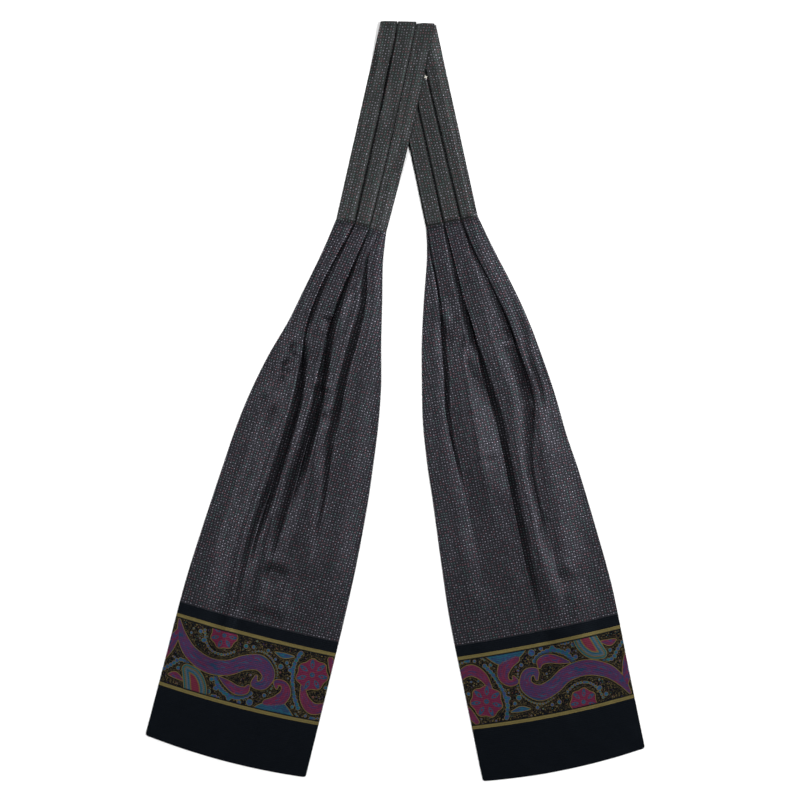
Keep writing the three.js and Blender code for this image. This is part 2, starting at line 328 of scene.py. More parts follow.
# The sections are fine between these heights above the hem, where the border is printed. The
# hem's rounded corners have one at each of these shares of a quarter turn.
BORDER_TOP = 116.0
BORDER_FOOT = 42.0
COARSE_STEP = 2.6
FINE_STEP = 0.66
HEM_STEP = 2.4
CORNER = 2.4
CORNER_SHARES = np.linspace(0.25, 1, 4)


def stations(length):
    """Distances of a blade's sections: close together where the border is printed."""
    top, foot = length - BORDER_TOP, length - BORDER_FOOT
    upper = np.linspace(0, top, round(top / COARSE_STEP), endpoint=False)
    border = np.linspace(top, foot, round((foot - top) / FINE_STEP), endpoint=False)
    hem = np.linspace(foot, length - CORNER, round(BORDER_FOOT / HEM_STEP))
    corner = length - CORNER * (1 - np.sin(CORNER_SHARES * math.pi / 2))
    return np.concatenate([upper, border, hem, corner])


# Distances between which panels gain and lose their swell, the folds soften, and their troughs
# fill. The softening's reach is across the blade.
LOFT_FROM = (6, 55)
LOFT_TO = (250, 352)
SOFTEN_FROM = (136, 215)
SOFTEN_REACH = 3.8
TROUGH_OUT = (225, 330)
HEM_BOW_POWER = 3.5
PRINT_TILT = 0.008


def blade_grid(blade, creases, dents):
    """The middle surface of a blade: points in metres and the cloth's own coordinates."""
    rows, length = blade["rows"], blade["length"]
    opened = [OPEN_SHARE * pleat["sharp"] for pleat in blade["pleats"]] + [0.0]
    names = [pleat["column"] for pleat in blade["pleats"]] + ["inner"]
    grid, cloth = [], []
    for s in stations(length):
        inset = CORNER - math.sqrt(max(CORNER**2 - max(s - length + CORNER, 0) ** 2, 0))
        outer = column(rows, "outer", s) + inset
        inner = column(rows, "inner", s) - inset
        edges = [column(rows, name, s) for name in names]
        states = [pleat_state(pleat, s) for pleat in blade["pleats"]]
        loft, fade = smooth(s, *LOFT_FROM), 1 - smooth(s, *LOFT_TO)
        line, panel = middle_line(outer, inner, edges[:-1], states, blade["panel_steps"],
                                  loft * fade, fade)
        v, z = line[:, 0], line[:, 1]
        reach = SOFTEN_REACH * smooth(s, *SOFTEN_FROM)
        if reach > SOFTEN_LEAST:
            even = soften(v, z, reach)
            z = np.minimum(even, z + (even - z) * smooth(s, *TROUGH_OUT))
        z = np.maximum(z + relief(s, v, creases, dents), FLOOR)
        z = FLOOR + (z - FLOOR) * seam_dip(s)
        sway = 1 - ((2 * v - outer - inner) / (inner - outer)) ** 2
        bow = blade["hem_bow"] * (s / length) ** HEM_BOW_POWER
        x, y = on_blade(blade, s + bow * sway, v)
        grid.append(np.stack([x, y, z], 1) * MM)
        drift = np.array([column(rows, name, max(s, o)) - e
                          for name, o, e in zip(names, opened, edges)])
        height = length - s + blade["print_shift"] - PRINT_TILT * (v - (outer + inner) / 2)
        cloth.append(np.stack([v + drift[panel], height], 1))
    return np.array(grid), np.array(cloth)


def cloth_piece(name, grid, cloth, facing):
    """A closed shell of cloth on a grid of points, with the cloth's own millimetres as its UV."""
    down, across = grid.shape[:2]
    index = np.arange(down * across).reshape(down, across)
    corners = [index[:-1, :-1], index[1:, :-1], index[1:, 1:], index[:-1, 1:]]
    faces = np.stack([c.ravel() for c in (corners if facing > 0 else corners[::-1])], 1)
    mesh = bpy.data.meshes.new(name)
    mesh.from_pydata(grid.reshape(-1, 3).tolist(), [], faces.tolist())
    uv = mesh.uv_layers.new(name="cloth")
    uv.uv.foreach_set("vector", cloth.reshape(-1, 2)[faces.ravel()].ravel())
    piece = bpy.data.objects.new(name, mesh)
    bpy.context.scene.collection.objects.link(piece)
    return piece


SMOOTH_UNDER = math.radians(50)


def give_wall(piece):
    """The shell gets its thickness, evenly to both sides, and its faces shade smoothly."""
    bpy.ops.object.select_all(action="DESELECT")
    piece.select_set(True)
    bpy.context.view_layer.objects.active = piece
    wall = piece.modifiers.new("wall", "SOLIDIFY")
    wall.thickness = WALL * MM
    wall.offset = 0
    bpy.ops.object.modifier_apply(modifier="wall")
    bpy.ops.object.shade_smooth_by_angle(angle=SMOOTH_UNDER)
    piece.select_set(False)


# The printed border's figures, an arrangement of traditional paisley: curved botehs, rosettes
# and beads. Each stem is a curve through points, with its half width at each, measured from the
# border's upper left corner. Its hue picks its dyes.
BAND_WIDTH = 133.0
BAND_TOP = 99.1
BAND_FOOT = 45.4
BAND_HEIGHT = BAND_TOP - BAND_FOOT
STEM_SPOTS = 14
LEAST_SPOT = 0.3
CHAIN_SPOTS = 40
STREAKS_APART = 40.0
FIGURE_REACH = 9.0

STEMS = [
    {"hue": 0.1, "points": [(3, 2, 0.8), (8, 13, 3.4), (18, 24, 5.2), (34, 30, 6.0), (50, 28, 5.8),
                            (62, 21, 5.8), (74, 18, 6.0), (83, 25, 5.0), (81, 34, 3.8),
                            (74, 35, 2.6), (74, 29, 1.1)]},
    {"hue": 0.3, "points": [(-3, 34, 3.4), (0, 24, 4.6), (4, 13, 2.4), (5, 8, 0.6)]},
    {"hue": 0.5, "points": [(19, 38, 4.0), (25, 43, 7.6), (29, 50, 9.0), (31, 57, 8.4)]},
    {"hue": 0.7, "points": [(46, 37, 0.6), (53, 40, 2.6), (61, 43, 3.4), (68, 42, 2.8),
                            (70, 38, 1.2)]},
    {"hue": 0.3, "points": [(88, 48, 3.8), (95, 45, 5.0), (100, 37, 4.2), (97, 30, 2.4),
                            (91, 30, 2.2), (92, 34, 0.9)]},
    {"hue": 0.9, "points": [(76, 56, 0.6), (86, 51, 3.2), (98, 49, 4.6), (110, 55, 1.8)]},
    {"hue": 0.3, "points": [(112, 29, 1.6), (116, 38, 3.4), (123, 44, 4.4), (130, 43, 3.8),
                            (136, 38, 2.2)]},
    {"hue": 0.9, "points": [(84, 7, 0.4), (91, 8, 2.0), (99, 7, 0.5)]},
    {"hue": 0.3, "points": [(6, 46, 0.6), (11, 45, 2.4), (17, 47, 0.8)]},
    {"hue": 0.7, "points": [(128, 3, 2.0), (132, 10, 3.0), (134, 16, 1.5)]},
]

ROSETTES = [
    {"x": 41, "y": 4, "radius": 11.0, "petals": 7},
    {"x": 117, "y": 18, "radius": 13.0, "petals": 7},
]

BERRIES = [
    (91, 17, 2.0), (95, 13, 1.5), (99, 18, 1.6), (74, 50, 2.6), (57, 51, 1.8), (84, 42, 1.5),
    (66, 52, 1.6), (40, 50, 1.9), (40, 40, 1.7), (45, 46, 1.9), (108, 46, 1.4), (12, 39, 1.5),
    (22, 6, 1.6), (26, 12, 1.7), (60, 8, 1.7), (66, 7, 1.3), (78, 7, 1.4), (9, 33, 1.2),
    (130, 26, 1.5), (125, 52, 1.6), (103, 4, 1.5), (51, 34, 1.2), (120, 51, 1.2),
]

BEAD_CHAINS = [
    {"step": 3.3, "radius": 1.7, "points": [(104, 3), (101, 13), (103, 26), (107, 37), (114, 48)]},
    {"step": 3.1, "radius": 1.5, "points": [(-1, 45), (6, 38), (12, 32), (20, 33)]},
    {"step": 3.2, "radius": 1.9, "points": [(42, 36), (47, 44), (57, 49), (68, 47), (75, 41)]},
    {"step": 2.6, "radius": 1.0, "points": [(25, 4), (28, 12), (34, 18), (44, 19), (53, 14)]},
    {"step": 2.7, "radius": 1.1, "points": [(39, 55), (46, 52), (55, 55), (68, 56)]},
    {"step": 2.5, "radius": 0.9, "points": [(112, 51), (118, 55), (127, 52), (134, 50)]},
    {"step": 2.4, "radius": 0.8, "points": [(64, 12), (74, 9), (84, 14), (90, 24), (88, 36)]},
]


def curve_through(points, count):
    """Evenly counted places along a smooth curve through the points."""
    table = np.array(points, float)
    ends = np.concatenate([[2 * table[0] - table[1]], table, [2 * table[-1] - table[-2]]])
    places = []
    for k in range(1, len(ends) - 2):
        t = np.arange(count)[:, None] / count
        a, b, c, d = ends[k - 1:k + 3]
        places.append(0.5 * (2 * b + (c - a) * t + (2 * a - 5 * b + 4 * c - d) * t**2
                             + (3 * b - a - 3 * c + d) * t**3))
    return np.concatenate(places + [table[-1:]])


def band_figures(x, y):
    """Distance to the nearest figure, less than zero inside it, with its hue, the distance along
    and across it that its streaks follow, its petals and the beads beside it. A rosette's rim
    waves with its petals, and each petal is a leaf round the rosette's eye."""
    figure = np.full(x.shape, FIGURE_REACH)
    hue, along, across, petal = (np.zeros(x.shape) for _ in range(4))
    bead = np.full(x.shape, FIGURE_REACH)
    for count, stem in enumerate(STEMS):
        places = curve_through(stem["points"], STEM_SPOTS)
        heading = np.gradient(places[:, :2], axis=0)
        heading /= np.hypot(heading[:, :1], heading[:, 1:])
        run = STREAKS_APART * count
        for k, (px, py, half) in enumerate(places):
            run += np.hypot(*(places[k, :2] - places[k - 1, :2])) if k else 0.0
            found = np.hypot(x - px, y - py) - max(half, LEAST_SPOT)
            closer = found < figure
            figure[closer] = found[closer]
            hue[closer] = stem["hue"]
            along[closer] = run
            across[closer] = (heading[k, 0] * (y - py) - heading[k, 1] * (x - px))[closer]
    for rosette in ROSETTES:
        away = np.hypot(x - rosette["x"], y - rosette["y"])
        turn = np.arctan2(y - rosette["y"], x - rosette["x"]) * rosette["petals"]
        found = away - rosette["radius"] * (0.94 + 0.06 * np.cos(turn))
        closer = found < figure
        figure[closer] = found[closer]
        hue[closer] = 1.0
        reach = away / rosette["radius"]
        leaf = np.cos(turn) * np.minimum(reach * 1.6, 1) - 2.6 * np.abs(reach - 0.58) + 0.35
        eye = 1.2 - 5.5 * reach
        petal[closer] = np.maximum(leaf, eye)[closer]
    for px, py, radius in BERRIES:
        bead = np.minimum(bead, np.hypot(x - px, y - py) - radius)
    for chain in BEAD_CHAINS:
        line = curve_through(chain["points"], CHAIN_SPOTS)
        run = np.concatenate([[0], np.cumsum(np.hypot(*np.diff(line, axis=0).T))])
        for at in np.arange(0, run[-1], chain["step"]):
            px, py = (np.interp(at, run, line[:, k]) for k in (0, 1))
            bead = np.minimum(bead, np.hypot(x - px, y - py) - chain["radius"])
    return {"figure": figure, "figure_hue": hue, "streak_along": along, "streak_across": across,
            "petal": petal, "bead": bead}


def print_border(piece, blade, grid_cloth, turned):
    """The border's figures are kept on the blade's points. The other half's are turned round."""
    middle = (column(blade["rows"], "outer", blade["length"])
              + column(blade["rows"], "inner", blade["length"])) / 2
    x = (grid_cloth[..., 0] - middle) * blade["side"] + BAND_WIDTH / 2
    y = BAND_TOP - grid_cloth[..., 1]
    if turned:
        x, y = BAND_WIDTH - x, BAND_HEIGHT - y
    for name, values in band_figures(x.ravel(), y.ravel()).items():
        attribute = piece.data.attributes.new(name, "FLOAT", "POINT")
        attribute.data.foreach_set("value", values.astype(np.float32))


def linear(hex_colour):
    """An sRGB hex colour as the linear values that shaders take."""
    parts = [int(hex_colour[k:k + 2], 16) / 255 for k in (1, 3, 5)]
    return [c / 12.92 if c <= 0.04045 else ((c + 0.055) / 1.055) ** 2.4 for c in parts] + [1.0]


def node(material, kind, settings=None, stops=(), **inputs):
    """Adds a node with its settings, its colour stops and its links, and returns its outputs.
    Inputs named in_0, in_1 and so on go by their number."""
    made = material.node_tree.nodes.new(kind)
    for name, value in (settings or {}).items():
        setattr(made, name, value)
    for k, (place, colour) in enumerate(stops):
        made.color_ramp.interpolation = "CONSTANT"
        elements = made.color_ramp.elements
        stop = elements[k] if k < 2 else elements.new(place)
        stop.position = place
        stop.color = linear(colour)
    for name, value in inputs.items():
        key = int(name[3:]) if name.startswith("in_") else name.replace("_", " ")
        if isinstance(value, bpy.types.NodeSocket):
            material.node_tree.links.new(value, made.inputs[key])
        else:
            made.inputs[key].default_value = value
    return made.outputs


# The pin dots stand in diagonal rows, with a dimmer set between them. Each set has its place in
# the pitch, how thickly it is printed, and its inks by chance.
DOT_PITCH = 3.0
DOT_RADIUS = 0.42
DOT_SOFT = 0.24
DOT_STRAY = 0.2
DOT_SETS = [
    ((0.0, 0.0, 0.0), 0.68, [(0.0, "#85838e"), (0.3, "#6c6a74"), (0.52, "#70545c"),
                            (0.66, "#566a6a"), (0.78, "#5f5d66")]),
    ((0.5, 0.5, 0.0), 0.54, [(0.0, "#5f5d66"), (0.25, "#6f4c54"), (0.5, "#4c6464"),
                            (0.72, "#73717b"), (0.85, "#4a4850")]),
]
GOLD_LINE = 2.7
DARK_EDGE = 0.9
DOTTED_FROM = 110.8

# The border's inks by what each one changes with, in steps: the dye's streaks along a boteh,
# the depth from its outline, a petal's shape, a fleck's own chance, or a slow drift
BORDER_DYES = {
    "cool": ("dye", [(0.0, "#1f3049"), (0.4, "#40243f"), (0.49, "#322948"), (0.56, "#4e1f35"),
                     (0.63, "#233a52")]),
    "warm": ("dye", [(0.0, "#362643"), (0.42, "#4a1f34"), (0.52, "#542036"), (0.6, "#322a48"),
                     (0.66, "#21314b")]),
    "teal": ("dye", [(0.0, "#1a404c"), (0.42, "#21324c"), (0.5, "#1b4354"), (0.6, "#282c4c"),
                     (0.7, "#1c4b50")]),
    "shell": ("depth", [(0.0, "#1a4248"), (0.14, "#4b4129"), (0.24, "#3a4650"), (0.36, "#1d3f4e"),
                        (0.5, "#54462a"), (0.6, "#54202e")]),
    "flower": ("petal", [(0.0, "#521d33"), (0.2, "#503525"), (0.36, "#233450"), (0.8, "#1b4350"),
                         (0.95, "#521d33")]),
    "fleck": ("chance", [(0.0, "#4b422a"), (0.5, "#524730"), (0.68, "#4b2f25"), (0.8, "#234244"),
                         (0.9, "#362b46")]),
    "bead": ("drift", [(0.0, "#1a474e"), (0.47, "#213d60"), (0.52, "#312b55"), (0.58, "#1b4250")]),
    "berry": ("chance", [(0.0, "#213d60"), (0.5, "#372b52"), (0.62, "#4e1f35"), (0.75, "#1a474e")]),
}

# The inks in the order that they are laid: what is being built up, what the layer follows,
# the range where it lies, how soft its edge is, and its ink. Lengths are in millimetres, and
# those of the hem are counted up from it.
BORDER_LAYERS = [
    ("inside", "figure_hue", 0.2, 0.4, 0.01, "warm"),
    ("inside", "figure_hue", 0.4, 0.6, 0.01, "shell"),
    ("inside", "figure_hue", 0.6, 0.8, 0.01, "warm"),
    ("inside", "figure_hue", 0.8, 0.95, 0.01, "teal"),
    ("inside", "figure_hue", 0.95, 2.0, 0.01, "flower"),
    ("band", "drift", 0.485, 0.515, 0.01, "curl"),
    ("band", "flecks", None, 0.3, 0.06, "fleck"),
    ("band", "berries", None, 0.46, 0.03, "ink_black"),
    ("band", "berries", None, 0.38, 0.03, "outline"),
    ("band", "berries", None, 0.29, 0.03, "berry"),
    ("band", "bead", None, 0.7, 0.1, "ink_black"),
    ("band", "bead", None, 0.3, 0.1, "outline"),
    ("band", "bead", None, -0.1, 0.1, "bead"),
    ("band", "figure", 1.5, 2.0, 0.1, "echo"),
    ("band", "figure", None, 1.1, 0.1, "ink_black"),
    ("band", "figure", None, 0.55, 0.1, "outline"),
    ("band", "figure", None, -0.1, 0.08, "inside"),
    ("whole", "hem", None, DOTTED_FROM, 0.15, "black"),
    ("whole", "hem", BAND_FOOT + DARK_EDGE, BAND_TOP - DARK_EDGE, 0.1, "band"),
    ("whole", "hem", BAND_TOP, BAND_TOP + GOLD_LINE, 0.12, "gold"),
    ("whole", "hem", BAND_FOOT - GOLD_LINE, BAND_FOOT, 0.12, "gold"),
]

# Dye streaks are long along a boteh and short across it, and each hue has its own. Flecks and
# berries are cells of chance, so many to the millimetre.
STREAK_SCALES = (0.07, 0.3, 7.0)
FLECK_SCALE = 0.62
BERRY_SCALE = 0.3
BERRY_THINNING = 0.3
DRIFT_SCALE = 0.42
DEPTH_SHARE = -0.1


def border_inks(material, dotted, cloth, hem):
    """The printed border: plain black, a gold line, the paisley band, a gold line, black."""
    read = {name: node(material, "ShaderNodeAttribute", {"attribute_name": name})["Fac"]
            for name in ("figure", "figure_hue", "streak_along", "streak_across", "petal", "bead")}
    streaks = node(material, "ShaderNodeCombineXYZ", in_0=read["streak_along"],
                   in_1=read["streak_across"], in_2=read["figure_hue"])[0]
    streaks = node(material, "ShaderNodeVectorMath", {"operation": "MULTIPLY"},
                   in_0=streaks, in_1=STREAK_SCALES)[0]
    flecks = node(material, "ShaderNodeTexVoronoi", Vector=cloth, Scale=FLECK_SCALE,
                  Randomness=0.85)
    berries = node(material, "ShaderNodeTexVoronoi", Vector=cloth, Scale=BERRY_SCALE,
                   Randomness=0.75)
    fleck_chance, berry_chance = (node(material, "ShaderNodeSeparateColor", in_0=cells["Color"])
                                  for cells in (flecks, berries))
    thinned = node(material, "ShaderNodeMath", {"operation": "MULTIPLY"}, in_0=berry_chance[1],
                   in_1=BERRY_THINNING)[0]
    read.update({
        "hem": hem,
        "dye": node(material, "ShaderNodeTexNoise", Vector=streaks, Scale=1.6, Detail=2.0)[0],
        "depth": node(material, "ShaderNodeMath", {"operation": "MULTIPLY"},
                      in_0=read["figure"], in_1=DEPTH_SHARE)[0],
        "drift": node(material, "ShaderNodeTexNoise", Vector=cloth, Scale=DRIFT_SCALE,
                      Detail=2.0)[0],
        "flecks": flecks["Distance"],
        "berries": node(material, "ShaderNodeMath", {"operation": "ADD"},
                        in_0=berries["Distance"], in_1=thinned)[0],
        "chance": fleck_chance[0],
    })
    inks = {name: linear(colour) for name, colour in (
        ("black", "#0a0e13"), ("ink_black", "#0a0b0f"), ("gold", "#5d5433"),
        ("outline", "#544829"), ("echo", "#2a2519"), ("curl", "#463e29"))}
    for name, (source, stops) in BORDER_DYES.items():
        inks[name] = node(material, "ShaderNodeValToRGB", stops=stops, Fac=read[source])[0]
    inks.update(inside=inks["cool"], band=inks["ink_black"], whole=dotted)
    for built, source, low, high, soft, ink in BORDER_LAYERS:
        share = node(material, "ShaderNodeMapRange", {"interpolation_type": "SMOOTHSTEP"},
                     Value=read[source], From_Min=high + soft, From_Max=high - soft)[0]
        if low is not None:
            above = node(material, "ShaderNodeMapRange", {"interpolation_type": "SMOOTHSTEP"},
                         Value=read[source], From_Min=low - soft, From_Max=low + soft)[0]
            share = node(material, "ShaderNodeMath", {"operation": "MULTIPLY"},
                         in_0=share, in_1=above)[0]
        inks[built] = node(material, "ShaderNodeMix", {"data_type": "RGBA"},
                           in_0=share, in_6=inks[built], in_7=inks[ink])[2]
    return inks["whole"]


# A wave texture has 20 / (2 pi) waves to the unit at a scale of 1
WAVES = 20 / (2 * math.pi)
TWILL_PITCH = 0.9
RIB_PITCH = 1.5
CLOUD_SCALE = 0.06


def silk_twill(name, ground_colours, bordered):
    """Foulard silk twill: a smooth, close diagonal weave of fine thread, screen printed on a
    charcoal ground. It has a broad low sheen of its own colour on what faces the light, so it is
    mostly metallic. The twill is drawn at 0.9 mm, coarser than its real 0.3 mm, to show."""
    material = bpy.data.materials.new(name)
    material.use_nodes = True
    cloth = node(material, "ShaderNodeUVMap", {"uv_map": "cloth"})[0]
    hem = node(material, "ShaderNodeSeparateXYZ", in_0=cloth)[1]
    cloudy = node(material, "ShaderNodeTexNoise", Vector=cloth, Scale=CLOUD_SCALE, Detail=3.0)[0]
    low, high = (linear(colour) for colour in ground_colours)
    ground = node(material, "ShaderNodeMix", {"data_type": "RGBA"}, in_0=cloudy, in_6=low,
                  in_7=high)[2]

    colour = ground
    for offset, thickness, inks in DOT_SETS:
        lattice = node(material, "ShaderNodeMapping", Vector=cloth, Location=offset,
                       Rotation=(0, 0, -math.pi / 4), Scale=(1 / DOT_PITCH,) * 3)[0]
        cell = node(material, "ShaderNodeVectorMath", {"operation": "FLOOR"}, in_0=lattice)[0]
        within = node(material, "ShaderNodeVectorMath", {"operation": "FRACTION"},
                      in_0=lattice)[0]
        chance = node(material, "ShaderNodeTexWhiteNoise", {"noise_dimensions": "2D"},
                      Vector=cell)
        middle = node(material, "ShaderNodeVectorMath", {"operation": "MULTIPLY_ADD"},
                      in_0=chance["Color"], in_1=(DOT_STRAY, DOT_STRAY, 0.0),
                      in_2=((1 - DOT_STRAY) / 2, (1 - DOT_STRAY) / 2, 0.0))[0]
        away = node(material, "ShaderNodeVectorMath", {"operation": "DISTANCE"}, in_0=within,
                    in_1=middle)["Value"]
        dot = node(material, "ShaderNodeMapRange", {"interpolation_type": "SMOOTHSTEP"},
                   Value=away, From_Min=(DOT_RADIUS + DOT_SOFT) / DOT_PITCH,
                   From_Max=(DOT_RADIUS - DOT_SOFT) / DOT_PITCH, To_Max=thickness)[0]
        ink = node(material, "ShaderNodeValToRGB", Fac=chance["Value"], stops=inks)[0]
        colour = node(material, "ShaderNodeMix", {"data_type": "RGBA"}, in_0=dot, in_6=colour,
                      in_7=ink)[2]
    if bordered:
        colour = border_inks(material, colour, cloth, hem)

    # the weave: a diagonal twill and a crosswise rib
    twill = node(material, "ShaderNodeTexWave", {"bands_direction": "DIAGONAL"}, Vector=cloth,
                 Scale=2 / (TWILL_PITCH * WAVES))["Fac"]
    rib = node(material, "ShaderNodeTexWave", {"bands_direction": "Y"}, Vector=cloth,
               Scale=1 / (RIB_PITCH * WAVES))["Fac"]
    weave = node(material, "ShaderNodeMath", {"operation": "ADD"}, in_0=twill, in_1=rib)[0]
    bump = node(material, "ShaderNodeBump", Height=weave, Strength=0.25, Distance=0.00018)[0]
    shader = material.node_tree.nodes["Principled BSDF"]
    material.node_tree.links.new(colour, shader.inputs["Base Color"])
    material.node_tree.links.new(bump, shader.inputs["Normal"])
    for setting, value in (("Metallic", 0.8), ("Roughness", 0.43), ("IOR", 1.45),
                           ("Specular IOR Level", 0.12)):
        shader.inputs[setting].default_value = value
    return material


printed_silk = silk_twill("printed_silk_twill", ("#1d1d21", "#252529"), bordered=True)

front_grid, front_cloth = blade_grid(FRONT, FRONT_CREASES, FRONT_DENTS)
front_blade = cloth_piece("front_blade_cloth", front_grid, front_cloth, FRONT["side"])
print_border(front_blade, FRONT, front_cloth, turned=False)
give_wall(front_blade)
front_blade.data.materials.append(printed_silk)
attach(front_blade, "root")
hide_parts("blade_front")

# Back blade
# The lower part of the right half, cut and sewn as the front blade. It shows its reverse side,
# so its pleats lap the other way, and a narrow fourth strip comes out from under its inner pleat.
BACK = {
    "side": -1, "x": 45.45, "y": 143.47, "lean": math.radians(11.6), "length": 443.5,
    "hem_bow": 4.0, "print_shift": 0.7,
    "pleats": [
        {"column": "one", "sharp": 98, "crest": 4.0, "swell": (40, 110), "fade": (118, 225)},
        {"column": "two", "sharp": 86, "crest": 6.4, "swell": (35, 150), "fade": (250, 366)},
        {"column": "three", "sharp": 60, "crest": 4.6, "swell": (20, 90), "fade": (112, 240)},
    ],
    "stitched": 3,
    "inner_bow": 0.6,
    "panel_steps": [38, 30, 38, 40],
    "rows": [dict(zip(PLAN, row)) for row in (
        (0, -21.2, -8.0, 6.2, 20.4, 21.0),
        (24, -27.2, -12.1, 5.1, 21.1, 25.6),
        (56, -36.2, -20.6, 3.5, 21.8, 34.6),
        (88, -44.0, -28.1, 0.7, 25.0, 42.8),
        (120, -49.2, -32.0, -0.9, 29.2, 49.4),
        (152, -53.2, -34.5, -4.2, 34.2, 55.2),
        (184, -55.6, -29.0, -5.6, 34.4, 58.4),
        (216, -59.6, -25.6, -5.5, 32.0, 60.2),
        (264, -63.8, -27.8, -5.2, 31.0, 63.4),
        (312, -67.0, -30.5, -6.1, 31.0, 66.0),
        (376, -66.8, -31.0, -6.0, 31.0, 66.0),
        (443.5, -66.8, -31.0, -6.0, 31.0, 66.0),
    )],
    "turn_shares": {"one": 0.38, "two": 0.67, "three": 0.975},
}

BACK_CREASES = [
    {"s": (60, 150), "v": (-8.0, -16.0), "width": 4.0, "height": 1.0},
    {"s": (90, 250), "v": (14.0, 18.0), "width": 5.5, "height": 1.2},
    {"s": (150, 335), "v": (-16.0, -18.0), "width": 6.0, "height": 0.6},
    {"s": (135, 380), "v": (-35.0, -30.0), "width": 14.0, "height": 2.8},
    {"s": (170, 340), "v": (44.0, 48.0), "width": 9.0, "height": 0.5},
]

BACK_DENTS = [
    {"s": 88, "v": 20.5, "along": 20, "across": 4.5, "depth": 3.0},
    {"s": 98, "v": 7.0, "along": 16, "across": 5, "depth": 3.0},
    {"s": 101, "v": -23.5, "along": 5, "across": 5, "depth": 2.6},
    {"s": 152, "v": 13.5, "along": 2.5, "across": 9, "depth": 0.7},
    {"s": 190, "v": 10.0, "along": 2.5, "across": 9, "depth": 0.8},
    {"s": 246, "v": -21.0, "along": 14, "across": 6, "depth": 1.6},
    {"s": 293, "v": -32.0, "along": 9, "across": 7, "depth": 1.3},
]

back_grid, back_cloth = blade_grid(BACK, BACK_CREASES, BACK_DENTS)
back_blade = cloth_piece("back_blade_cloth", back_grid, back_cloth, BACK["side"])
print_border(back_blade, BACK, back_cloth, turned=True)
give_wall(back_blade)
back_blade.data.materials.append(printed_silk)
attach(back_blade, "root")
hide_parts("blade_back")

# Neckband halves
# The upper part of each half, the same silk double, its knife pleats pressed flat and held at the
# foot by a row of stitches. The front half climbs over the back half's inner edge to the turn,
# where the cloth is folded over and carries on as the back half.
TURN_OUTER = (-11.55, 303.97)
TURN_INNER = (32.15, 303.07)
LIFT = STACK + AIR
LIFT_RAMP = 18.0
TURN_RADIUS = STACK + AIR / 2
ARM_PANEL_STEPS = 14
ARM_STEP = 2.0

# The cloth's own width from one pleat's fold to the next one's
PANEL_CUT = 27.3

# The panels level out between these shares of the way to the turn: how much sooner each one has
# risen, how much sooner the outermost starts, and how far the innermost is held up
LEVEL_OUT = (0.8, 0.98)
TURN_LEVEL = 0.75
TURN_RISE = 1.6
TURN_HELD = 0.8

plain_silk = silk_twill("pin_dot_silk_twill", ("#242626", "#2c2e2d"), bordered=False)


def arm_ends(blade):
    """Ends of a half of the neckband in plan: at its stitches and at the turn."""
    first = blade["rows"][0]
    foot = [np.array(on_blade(blade, 0.0, first[edge])) for edge in ("outer", "inner")]
    top = [np.array(TURN_OUTER), np.array(TURN_INNER)]
    return foot, top if blade["side"] > 0 else top[::-1]


def climb(x, y):
    """Height that the front half gains over the inner edge of the back half."""
    foot, top = arm_ends(BACK)
    run = foot[1] - top[1]
    inside = ((y - top[1][1]) * run[0] - (x - top[1][0]) * run[1]) / np.hypot(*run)
    return LIFT * smooth(inside, -LIFT_RAMP, -AIR)


def arm_section(blade, t):
    """One section of a half of the neckband, t of the way from its stitches to the turn."""
    foot, top = arm_ends(blade)
    first = blade["rows"][0]
    a = foot[0] + (top[0] - foot[0]) * t
    b = foot[1] + (top[1] - foot[1]) * t
    b[0] += blade["inner_bow"] * math.sin(math.pi * t)
    width = np.hypot(*(b - a))
    near = smooth(t, *LEVEL_OUT)
    pressed = {"turn": math.pi, "run": UNDERLAY, "drop": PLEAT_DROP, "full": PLEAT_DROP,
               "crest_share": PRESSED_CREST, "level_by": LEVEL_BY * (1 - TURN_LEVEL * near),
               "rise_from": RISE_FROM - TURN_RISE * near}
    edges = []
    for pleat in blade["pleats"][:blade["stitched"]]:
        name = pleat["column"]
        foot_share = (first[name] - first["outer"]) / (first["inner"] - first["outer"])
        edges.append(width * (foot_share + (blade["turn_shares"][name] - foot_share) * t))
    steps = [ARM_PANEL_STEPS] * (len(edges) + 1)
    line, panel = middle_line(0.0, width, edges, [pressed] * len(edges), steps,
                              held=TURN_HELD * near)
    return a, b, width, edges, line, panel


def across_panels(line, panel, edges, width):
    """The cloth's own distance across each panel, counted from the panel's fold."""
    return line[:, 0] - np.array(edges + [width])[panel] + PANEL_CUT * panel


def arm_grid(blade):
    """The middle surface of a half of the neckband, and the cloth's own coordinates."""
    foot, top = arm_ends(blade)
    rise = top[0][1] - foot[0][1]
    reach = 1 - TURN_RADIUS / rise
    count = round(rise / ARM_STEP)
    grid, cloth = [], []
    for k in range(count + 1):
        t = reach * (1 - k / count)
        a, b, width, edges, line, panel = arm_section(blade, t)
        share = line[:, 0] / width
        x = a[0] + (b[0] - a[0]) * share
        y = a[1] + (b[1] - a[1]) * share
        z = FLOOR + (line[:, 1] - FLOOR) * seam_dip(t * rise)
        z += climb(x, y) if blade["side"] > 0 else 0.0
        grid.append(np.stack([x, y, z], 1) * MM)
        along = np.full(len(x), blade["length"] + t * rise)
        cloth.append(np.stack([across_panels(line, panel, edges, width), along], 1))
    return np.array(grid), np.array(cloth)


# The turn is the middle of the pleated stretch, folded over: the front half's pleats run on
# round the fold, layer over layer, to where they meet the back half beneath.
TURN_STATIONS = 16


